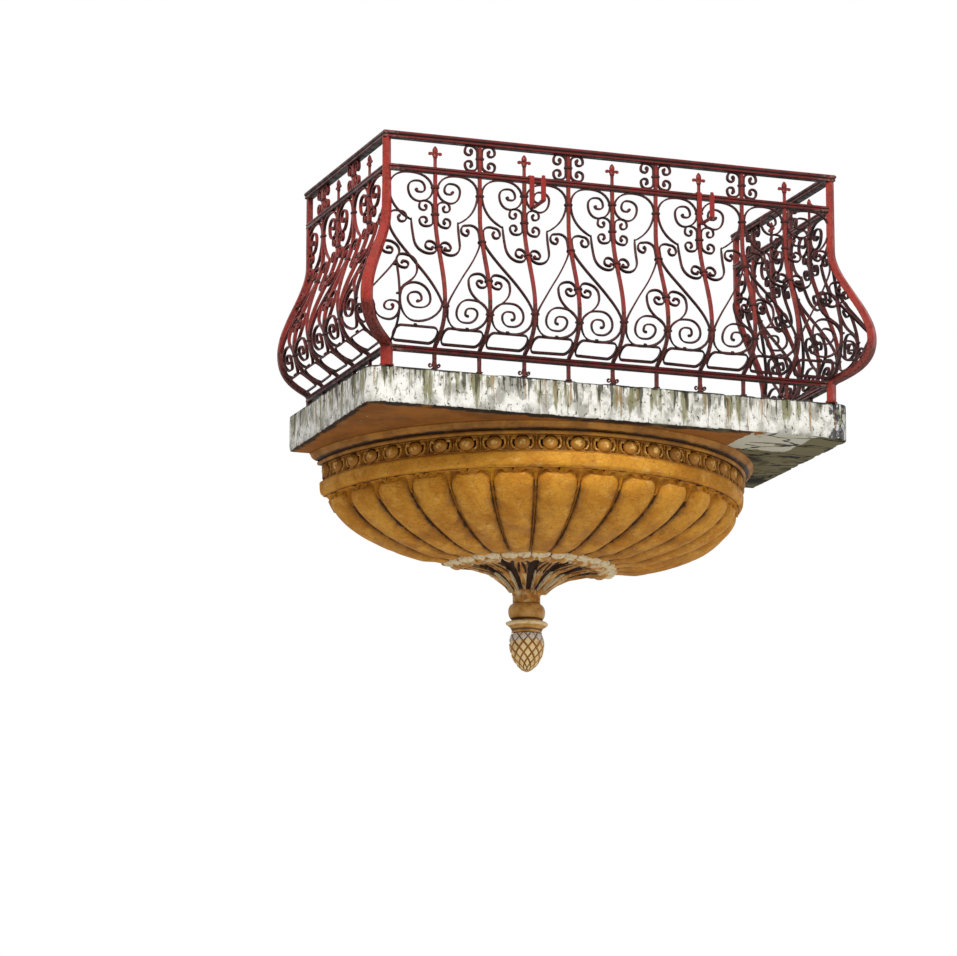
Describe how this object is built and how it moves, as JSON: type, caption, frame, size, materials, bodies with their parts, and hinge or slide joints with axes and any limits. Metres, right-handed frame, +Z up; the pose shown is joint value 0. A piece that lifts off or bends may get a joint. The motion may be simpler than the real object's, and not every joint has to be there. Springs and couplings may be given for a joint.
{
  "type": "wrought iron balcony on a bowl corbel",
  "caption": "Wrought iron balcony with a bellied scrollwork railing on three sides, a stone slab and a gadrooned half-round bowl corbel that ends in a leaf cup and a pine cone.",
  "frame": {"origin": "middle of the slab's flat back face, on the wall's face", "axes": "+Y into the wall that carries the balcony, +X to the right as seen from the street, +Z up"},
  "size_m": [2.3064, 1.184, 2.047],
  "materials": {
    "red_iron": "old brick-red paint, chalky, rust at the joints",
    "hook_iron": "bare rusty strap iron",
    "slab_stone": null,
    "corbel_stucco": null
  },
  "bodies": {
    "root": {"slab": "slab_stone", "cove": "corbel_stucco", "egg_band": "corbel_stucco", "eggs_on_band": "corbel_stucco", "fascia": "corbel_stucco", "gadrooned_bowl": "corbel_stucco", "leaf_cup": "corbel_stucco", "neck": "corbel_stucco", "pine_cone": "corbel_stucco", "corner_post_left": "red_iron", "corner_post_right": "red_iron", "wall_post_left": "red_iron", "wall_post_right": "red_iron", "top_rail_front": "red_iron", "top_rail_left": "red_iron", "top_rail_right": "red_iron", "second_rail_front": "red_iron", "second_rail_left": "red_iron", "second_rail_right": "red_iron", "bottom_rail_front": "red_iron", "bottom_rail_left": "red_iron", "bottom_rail_right": "red_iron", "bars_front": "red_iron", "bars_left": "red_iron", "bars_right": "red_iron", "large_scrolls_front": "red_iron", "large_scrolls_left": "red_iron", "large_scrolls_right": "red_iron", "s_scrolls_front": "red_iron", "s_scrolls_left": "red_iron", "s_scrolls_right": "red_iron", "heart_scrolls_front": "red_iron", "heart_scrolls_left": "red_iron", "heart_scrolls_right": "red_iron", "small_scrolls_front": "red_iron", "small_scrolls_left": "red_iron", "small_scrolls_right": "red_iron", "ovals_front": "red_iron", "ovals_left": "red_iron", "ovals_right": "red_iron", "collars_front": "red_iron", "collars_left": "red_iron", "collars_right": "red_iron", "corner_scrolls": "red_iron", "flower_box_hooks": "hook_iron"}
  },
  "joints": []
}
